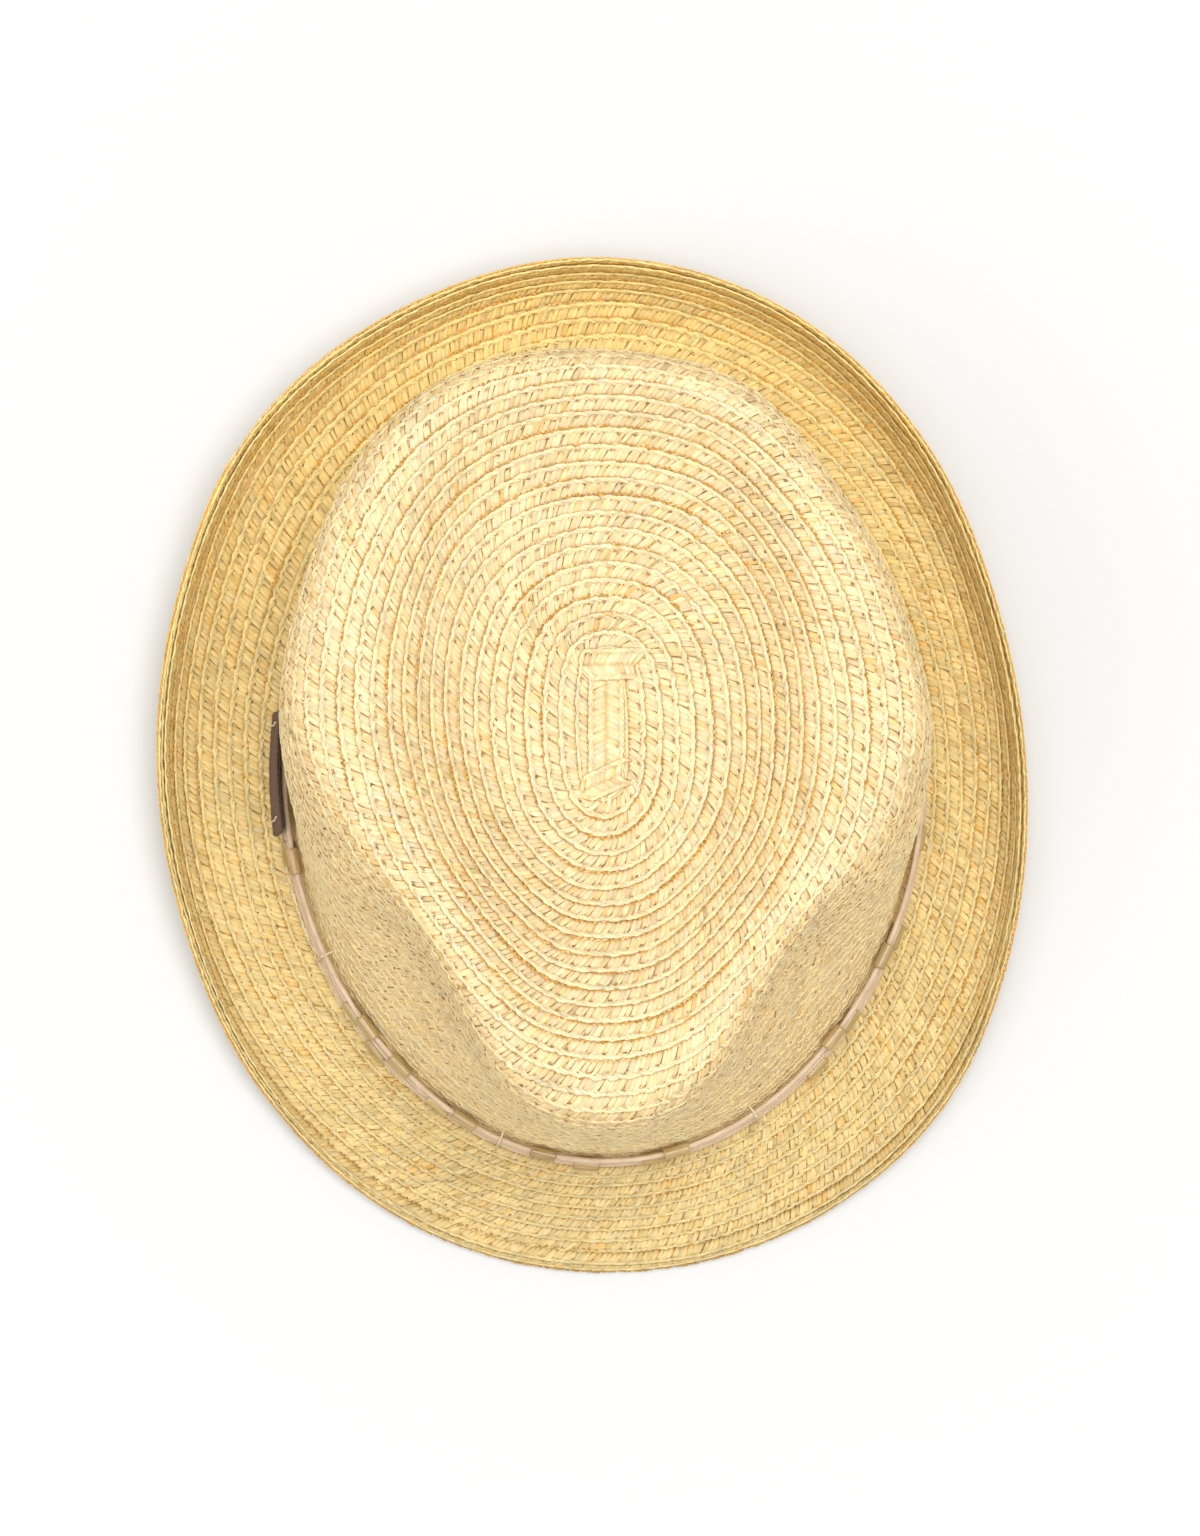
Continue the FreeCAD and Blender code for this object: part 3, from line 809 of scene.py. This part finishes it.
def backing(name, first, last, slot, nodes):
    """The closed thin layer under the outer face's strands, over these rows."""
    rows = np.linspace(first, last, int((last - first) * 2) + 1)
    angles = np.arange(0, FINE, 2) * TAU / FINE
    points, up = outer.at(angles, rows[:, None])
    top, bottom = (points + up * depth for depth in BACKING)
    rings = np.concatenate([top, bottom[::-1]])
    make_mesh(name, rings, loop_faces(len(rings), len(angles)), slot=slot, replaces=nodes,
              material=backing_straw)


def seam_stitches(name, first, last, material):
    """The stitches that sew each round to the last, one lens-shaped loop for each."""
    phi = np.arange(int(first * FINE), int(last * FINE)) * TAU / FINE
    middle, _ = outer.at(phi, phi / TAU + 0.5)
    run = lengths_along(middle)
    at = np.arange(0, run[-1], STITCH_STEP)
    at = (at + spread(0.6, len(at)))[rng.random(len(at)) < STITCH_SHARE]
    angle = np.interp(at, run, phi)
    across = SEAM_PLACE + 0.12 + spread(0.22, len(at))
    spots, up = outer.at(angle, angle / TAU + across / PITCH)
    ahead, _ = outer.at(angle + 0.004, (angle + 0.004) / TAU + across / PITCH)
    slant = 0.35 + spread(0.3, len(at), 1)
    ahead = unit(ahead - spots)
    side = np.cross(up, ahead)
    ahead = unit(ahead + slant * side)
    side = np.cross(up, ahead)
    size = 0.26 + 0.34 * rng.random((len(at), 1))
    spots = spots + up * (STITCH_RISE + spread(0.05, len(at), 1))
    side, up = side * STITCH_HALF[0], up * STITCH_HALF[1]
    rings = []
    for reach, girth in ((-1, 0.25), (-0.45, 0.85), (0.45, 0.85), (1, 0.25)):
        middle = spots + ahead * reach * size
        rings.append(np.stack([middle + way * girth for way in (side, up, -side, -up)], axis=1))
    rings = np.stack(rings, axis=1)
    one = np.concatenate([tube_faces(4, 4), [[3, 2, 1, 0], [12, 13, 14, 15]]])
    faces = one[None] + (np.arange(len(at)) * 16)[:, None, None]
    shade = np.repeat(0.6 + 0.9 * rng.random(len(at)), 16)
    tint = stacked(shade, shade, shade, 1)
    make_mesh(name, rings, faces, slot="thread", material=material, attributes=[("tint", tint)])


crown_straw = straw_material("crown_straw_paper", CROWN_COLOUR)
brim_straw = straw_material("brim_straw_paper", BRIM_COLOUR)
backing_straw = plain_straw_material("hidden_straw", BACKING_COLOUR)

CROWN_STRAW = (crown_straw, "crown_straw", ["crown_braid"])
BRIM_STRAW = (brim_straw, "brim_straw", ["brim_braid"])
OUTER_GROUPS = {
    "braid_dent": (-1, 17, *CROWN_STRAW),
    "braid_shoulder": (17, 25, *CROWN_STRAW),
    "braid_wall_upper": (25, 33, *CROWN_STRAW),
    "braid_wall_lower": (33, CROWN_ROWS, *CROWN_STRAW),
    "braid_brim_inner": (CROWN_ROWS, 45, *BRIM_STRAW),
    "braid_brim_outer": (45, ROWS + 1, *BRIM_STRAW),
}
INNER_GROUPS = {
    "lining_dent": (-1, 17, *CROWN_STRAW),
    "lining_shoulder": (17, 25, *CROWN_STRAW),
    "lining_wall": (25, 34, *CROWN_STRAW),
    "brim_underside_inner": (39.4, 45, *BRIM_STRAW),
    "brim_underside_outer": (45, ROWS + 1, *BRIM_STRAW),
}
spiral_pieces(outer, False, OUTER_GROUPS)
backing("crown_backing", 0, CROWN_ROWS + 0.2, *CROWN_STRAW[1:])
backing("brim_backing", CROWN_ROWS, ROWS - 0.1, *BRIM_STRAW[1:])
spiral_pieces(inner, True, INNER_GROUPS, inner_side=True)


def edge_round():
    """The extra round of braid that doubles the brim's edge."""
    phi = np.arange(0, int(FINE * EDGE_OVERLAP)) * TAU / FINE
    low, high = (np.full(len(phi), row) for row in EDGE_ROUND)
    lines, tints, _, _ = strand_lines(outer, phi, low, high, lift=EDGE_LIFT)
    strand_piece("braid_edge_round", lines, brim_painted_light(tints, lines), *BRIM_STRAW[:2],
                 ["brim_edge_round"])


def straight_braid(place, forward, length, half_width, round_ends=False):
    """Strand lines of a short straight run of braid, with a chevron down its middle.

    place is the middle of its top face, and its chevrons open forwards."""
    forward = unit(np.array(forward, float))
    sideways = np.cross((0, 0, 1), forward)
    starts = np.arange(-length / 2, length / 2 - 2.0, STRAND_STEP)
    parts = []
    for hand in (-1, 1):
        count, rings = len(starts), len(HOOK)
        along = starts[:, None] + HOOK[:, 0] * 0.8 + spread(0.1, count, 1)
        along = along + (STRAND_STEP / 2 if hand > 0 else 0)
        half = np.full(along.shape, half_width)
        if round_ends:
            past = np.abs(along) - (length / 2 - half_width)
            half = half * np.sqrt(np.clip(1 - (past.clip(0) / half_width) ** 2, 0.04, 1))
        across = HOOK[:, 1] + spread(0.08, count, 1)
        rise = SINK + TILT * across / PITCH + HOOK[:, 2] + 0.35 * np.exp(-across.clip(0))
        points = (place + along[..., None] * forward
                  + hand * (across / PITCH * half)[..., None] * sideways
                  + rise[..., None] * (0, 0, 1))
        up = np.broadcast_to((0, 0, 1.0), points.shape)
        width = np.tile(1.05 * HOOK[:, 3], (count, 1))
        tints, _ = strand_tints(along, across, count, rings)
        parts.append((points, up, width, along, tints))
    *lines, tints = (np.concatenate(group) for group in zip(*parts))
    return lines, tints


def start_piece(name, place, forward, size, bend=None, round_ends=False):
    """One run of the start strip, with each of its points moved by a function of its place."""
    lines, tints = straight_braid(place, forward, *size, round_ends)
    if bend:
        lines[0] = bend(lines[0])
    strand_piece(name, lines, tints, crown_straw, "crown_straw", ["crown_start_strip"])


def start_strip():
    """The straight first run, its end folded back over it, and its twisted turn at the front."""
    middle = np.array([CENTRE_X + START_X, CENTRE_Y + START_Y, strip_high[2] - FLAP_THICK])
    back, front = middle + FLAP_PLACE, middle + TWIST_PLACE

    def fold(p):
        """Narrows the flap towards the front, and lets its ends droop."""
        across, forward = p[..., :1] - back[0], back[1] - p[..., 1:2]
        narrow = across * (-0.05 * forward - 0.06)
        droop = -0.9 * (np.abs(across) / 8.5) ** 4 - 0.10 * forward.clip(0)
        return p + narrow * (1, 0, 0) + droop * (0, 0, 1)

    def twist(p):
        """Turns one end of the braid under and lifts the other a little."""
        across = (p[..., :1] - front[0]) / 6.0
        return p + (across ** 3 * 0.9 - np.abs(across) ** 4 * 1.2) * (0, 0.25, 0.6)

    start_piece("start_run", middle, (0, -1, 0), START_SIZE, round_ends=True)
    start_piece("start_flap", back, (1, 0.04, 0), FLAP_SIZE, fold)
    start_piece("start_twist", front, (1, 0.45, 0), TWIST_SIZE, twist)


def strip_backing():
    """The hidden layer that closes the middle of the crown."""
    angles = np.arange(0, FINE, 12) * TAU / FINE
    rim, up = outer.at(angles, np.zeros(len(angles)))
    middle = np.array([CENTRE_X + START_X, CENTRE_Y + START_Y, FLOOR_Z])
    top, bottom = START_BACKING
    rings = [middle + (rim - middle) * (size, size, 1) + up * depth
             for depth, size in ((top, 0.02), (top, 1.12), (bottom, 1.12), (bottom, 0.02))]
    make_mesh("start_backing", np.array(rings), loop_faces(4, len(angles)), slot="crown_straw",
              replaces=["crown_start_strip"], material=backing_straw)


# seam stitches: real stitches, but their dark colour is painted shade of the holes they sit in
painted_shade_thread = seam_thread_material()
seam_stitches("seam_stitches_crown", 0.2, SHOULDER_ROW, painted_shade_thread)
seam_stitches("seam_stitches_brim", CROWN_ROWS, ROWS - 1, painted_shade_thread)
edge_round()
start_strip()
strip_backing()


# ---- Hatband ----

wall_line = round_samples(along_poles(along_poles(crown_poles(), CROWN_POLES), CROWN_SAMPLES))
wall_line = wall_line[CROWN_SAMPLES // 2:]


def wall(angle, z, out=0.0):
    """Points of the crown's outer wall at these angles and heights, moved out from it."""
    angle, z = np.broadcast_arrays(np.asarray(angle, float), np.asarray(z, float))
    place = (angle / TAU * FINE) % FINE
    found = np.zeros(angle.shape + (3,))
    for index in np.ndindex(angle.shape):
        i = int(place[index])
        share = place[index] - i
        line = wall_line[:, i] * (1 - share) + wall_line[:, (i + 1) % FINE] * share
        for k in range(2):
            found[index + (k,)] = np.interp(-z[index], -line[:, 2], line[:, k])
    found[..., 2] = z
    found[..., :2] += oval_normal(angle) * np.asarray(out, float)[..., None]
    return found


def ring_tube(name, centre, radius, corners, **more):
    """A closed tube along a line that closes round the hat."""
    ahead = unit(np.roll(centre, -1, axis=0) - np.roll(centre, 1, axis=0))
    side = unit(np.cross(ahead, (0, 0, 1)))
    lift = np.cross(side, ahead)
    turn = np.arange(corners) * TAU / corners
    points = centre[:, None] + radius[:, None, None] * (
        side[:, None] * np.cos(turn)[:, None] + lift[:, None] * np.sin(turn)[:, None])
    run = np.cumsum(np.linalg.norm(np.roll(centre, -1, axis=0) - centre, axis=-1))
    grain = stacked(run[:, None], turn * LACE_R, 0)
    return make_mesh(name, points, loop_faces(len(centre), corners),
                     attributes=[("grain", grain)], **more)


def laces():
    """The three laces, each a little wavy and uneven."""
    angles = np.arange(FINE) * TAU / FINE
    material = lace_material()
    for k, (name, height) in enumerate(LACE_HEIGHTS.items()):
        lengths = [LACE_GIRTH_R / times for times in (7, 13, 29)]
        drift = waver(angles * LACE_GIRTH_R, 0.35, lengths, 20 + k)
        out = BEAD_R + BEAD_WALL_GAP + 0.06 * np.sin(11 * angles + k)
        centre = wall(angles, height + drift, out)
        uneven = 0.035 * np.sin(57 * angles + k) + 0.02 * np.sin(131 * angles)
        radius = LACE_R * (LACE_SHRINK + uneven)
        ring_tube(f"waxed_lace_{name}", centre, radius, 10, slot="lace_cord",
                  replaces=[f"{name}_lace"], material=material)


def bead(node, material):
    """A short length of cane, cut square with its ends eased, on the place of a CAD bead."""
    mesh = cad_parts[node].data
    spots = np.empty(len(mesh.vertices) * 3)
    mesh.vertices.foreach_get("co", spots)
    spots = spots.reshape(-1, 3) / MM
    centre = (spots.min(axis=0) + spots.max(axis=0)) / 2
    axis = np.linalg.eigh(np.cov((spots - centre).T))[1][:, -1]
    axis = axis * np.sign(axis[0] + 1e-6)
    up = unit((0, 0, 1.0) - axis[2] * axis)
    side = np.cross(axis, up)
    half = BEAD_LENGTH / 2 * (1 - 0.03 * rng.random())
    bore = BEAD_BORE_R - 0.02
    end = [(half, bore), (half, BEAD_R - BEAD_EASE), (half - BEAD_CORNER, BEAD_R - 0.1),
           (half - BEAD_EASE, BEAD_R)]
    body = np.linspace(-half + BEAD_BODY_END, half - BEAD_BODY_END, 7)
    profile = [(-x, radius) for x, radius in end] + [(x, BEAD_R) for x in body]
    profile += end[::-1] + [(0, bore)]
    turn = np.arange(BEAD_CORNERS) * TAU / BEAD_CORNERS
    phases = rng.random(6) * TAU
    rings = []
    for x, radius in profile:
        shape = (0.012 * np.sin(2 * turn + phases[0]) + 0.008 * np.sin(5 * turn + phases[1])
                 + 0.010 * np.sin(x * 0.9 + phases[2]) - 0.012)
        reach = radius * (1 + shape * (radius > BEAD_BORE_R))
        tip = 0.07 * np.sin(turn + phases[3]) * (abs(x) > half - 0.2) * np.sign(x)
        rings.append(centre + np.outer(x + tip * (x < 0) - tip * (x > 0), axis)
                     + np.outer(np.cos(turn) * reach, side) + np.outer(np.sin(turn) * reach, up))
    rings = np.array(rings)
    number = rng.random() * 60
    grain = stacked(np.array([x for x, _ in profile])[:, None], turn * BEAD_R, number)
    shade = 1 + spread(0.10) + spread(0.03, 3)
    shade = np.append(shade.clip(0.7, 1.25), 1.0)
    tint = np.broadcast_to(shade, (len(profile), BEAD_CORNERS, 4))
    make_mesh(f"cane_{node}", rings, loop_faces(len(profile), BEAD_CORNERS), body=node,
              slot="bead_wood", replaces=[node], material=material,
              attributes=[("grain", grain), ("tint", tint)])


def patch():
    """A suede patch with soft cut edges, lying over the three laces."""
    ups = np.linspace(0, 1, 40)
    acrosses = np.linspace(0, 1, 56)
    up, across = np.meshgrid(ups, acrosses, indexing="ij")
    edge = np.minimum.reduce([
        up * PATCH_TALL, (1 - up) * PATCH_TALL, across * PATCH_WIDE, (1 - across) * PATCH_WIDE])
    near_edge = 1 - edge.clip(0, PATCH_ROUNDING) / PATCH_ROUNDING
    full = np.sqrt(np.clip(1 - near_edge ** 2, 0, 1))
    heights = PATCH_HEIGHTS[0] + up * (PATCH_HEIGHTS[1] - PATCH_HEIGHTS[0])
    over_lace = sum(
        np.exp(-((heights - h) / PATCH_LACE_REACH) ** 2) for h in LACE_HEIGHTS.values())
    angles = np.radians(PATCH_ANGLES[0] + across * (PATCH_ANGLES[1] - PATCH_ANGLES[0]))
    nap = spread(PATCH_NAP, *up.shape)
    out = BEAD_R + BEAD_WALL_GAP + LACE_R + PATCH_GAP + PATCH_LEAN * (1 - up)
    middle = PATCH_THICK / 2
    sides = []
    for hand in (1, -1):
        depth = out + middle * (1 + hand * full * 0.97) + PATCH_OVER_LACE * (over_lace - 0.6)
        sides.append(wall(angles, heights, depth + nap * full * (hand > 0)))
    # walk over the outer side and back over the inner one
    rings = np.concatenate([sides[0], sides[1][:, ::-1]], axis=1)
    grain = stacked(across * PATCH_WIDE, up * PATCH_TALL, 0)
    grain = np.concatenate([grain, grain[:, ::-1] + (0, 0, 3)], axis=1)
    corners = rings.shape[1]
    k = np.arange(len(acrosses) - 1)
    end = np.stack([k, k + 1, corners - 2 - k, corners - 1 - k], axis=-1)
    faces = np.concatenate([
        tube_faces(len(ups), corners), end[:, ::-1], end + (len(ups) - 1) * corners])
    make_mesh("suede_patch", rings, faces, slot="patch_leather",
              replaces=["leather_patch"], material=suede_material(), attributes=[("grain", grain)])


def sweatband():
    """A cotton tape sewn inside the crown's foot, standing against its wall."""
    angles = np.arange(0, FINE, 2) * TAU / FINE
    heights = np.linspace(BAND_HEIGHTS[0], BAND_HEIGHTS[1], 26)
    outs = []
    for depth in (BAND_EASE, BAND_THICK - BAND_EASE):
        rows = []
        for z in heights:
            lean = BAND_LEAN * ((z - BAND_HEIGHTS[0]) / BAND_HEIGHTS[1]) ** 2
            wave = lean * (0.6 + 0.4 * np.sin(9 * angles) + 0.25 * np.sin(23 * angles + 1))
            line = wall(angles, max(z, THICK), -(THICK + BAND_GAP + depth + wave))
            line[:, 2] = z
            rows.append(line)
        outs.append(np.array(rows))
    middle = (outs[0][-1:] + outs[1][-1:]) / 2 + (0, 0, 0.25)
    foot = (outs[0][:1] + outs[1][:1]) / 2 - (0, 0, 0.15)
    rings = np.concatenate([foot, outs[0], middle, outs[1][::-1]])
    run = np.cumsum(np.linalg.norm(np.roll(outs[0][0], -1, axis=0) - outs[0][0], axis=-1))
    up = np.concatenate([[0], heights, [heights[-1] + 0.5], heights[::-1]])
    grain = stacked(run, up[:, None], 0)
    band = make_mesh("cotton_sweatband", rings, loop_faces(len(rings), len(angles)),
                     slot="sweatband_cloth", replaces=["sweatband"], material=cloth_material(),
                     attributes=[("grain", grain)])


def dress(node, material):
    """Gives a CAD node that stays its finish."""
    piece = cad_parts[node]
    if not piece.material_slots:
        piece.data.materials.append(None)
    for place in piece.material_slots:
        place.link = "OBJECT"
        place.material = material


laces()
cane = cane_material()
for node in sorted(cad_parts):
    if node.startswith("bead_"):
        bead(node, cane)
patch()
sweatband()
thread = thread_material()
for node in ("band_tacks", "patch_stitches", "sweatband_stitches"):
    dress(node, thread)


# ---- Floor, light and camera, in metres ----

FLOOR_HALF = 3.0
WORLD_STRENGTH = 0.66
LIGHTS = {                   # place, size and power
    "key": ((0.25, 0.1, 1.9), 1.3, 27.0),
    "fill": ((-0.9, -0.3, 1.5), 1.2, 7.0),
}
CAMERA_PLACE = (-0.0228, -0.057, 1.25)
CAMERA_AIM = (0.0022, 0.0, 0.0)
CAMERA_LENS = 104.3


def make_floor():
    mesh = bpy.data.meshes.new("floor")
    corners = [(-1, -1), (1, -1), (1, 1), (-1, 1)]
    mesh.from_pydata([(FLOOR_HALF * x, FLOOR_HALF * y, 0) for x, y in corners], [], [(0, 1, 2, 3)])
    mesh.materials.append(floor_material())
    floor = bpy.data.objects.new("floor", mesh)
    scene.collection.objects.link(floor)


def make_light(name, place, size, power):
    """A round area light that points at the middle of the hat's foot."""
    data = bpy.data.lights.new(name, "AREA")
    data.shape = "DISK"
    data.size = size
    data.energy = power
    light = bpy.data.objects.new(name, data)
    light.location = place
    light.rotation_euler = (-Vector(place)).to_track_quat("-Z", "Y").to_euler()
    scene.collection.objects.link(light)


def make_world():
    world = bpy.data.worlds.new("studio")
    world.use_nodes = True
    background = world.node_tree.nodes["Background"]
    background.inputs["Color"].default_value = (1, 1, 1, 1)
    background.inputs["Strength"].default_value = WORLD_STRENGTH
    scene.world = world


def make_camera():
    """A camera above the hat, with the hat's front towards the bottom of its view."""
    data = bpy.data.cameras.new("camera")
    data.sensor_fit = "VERTICAL"
    data.sensor_height = 36.0
    data.lens = CAMERA_LENS
    data.clip_end = 10.0
    camera = bpy.data.objects.new("camera", data)
    place = Vector(CAMERA_PLACE)
    back = (place - Vector(CAMERA_AIM)).normalized()
    right = Vector((0, 1, 0)).cross(back).normalized()
    turn = Matrix((right, back.cross(right), back)).transposed()
    camera.matrix_world = Matrix.Translation(place) @ turn.to_4x4()
    scene.collection.objects.link(camera)
    scene.camera = camera


make_floor()
make_world()
for name, light in LIGHTS.items():
    make_light(name, *light)
make_camera()
scene.view_settings.view_transform = "Standard"
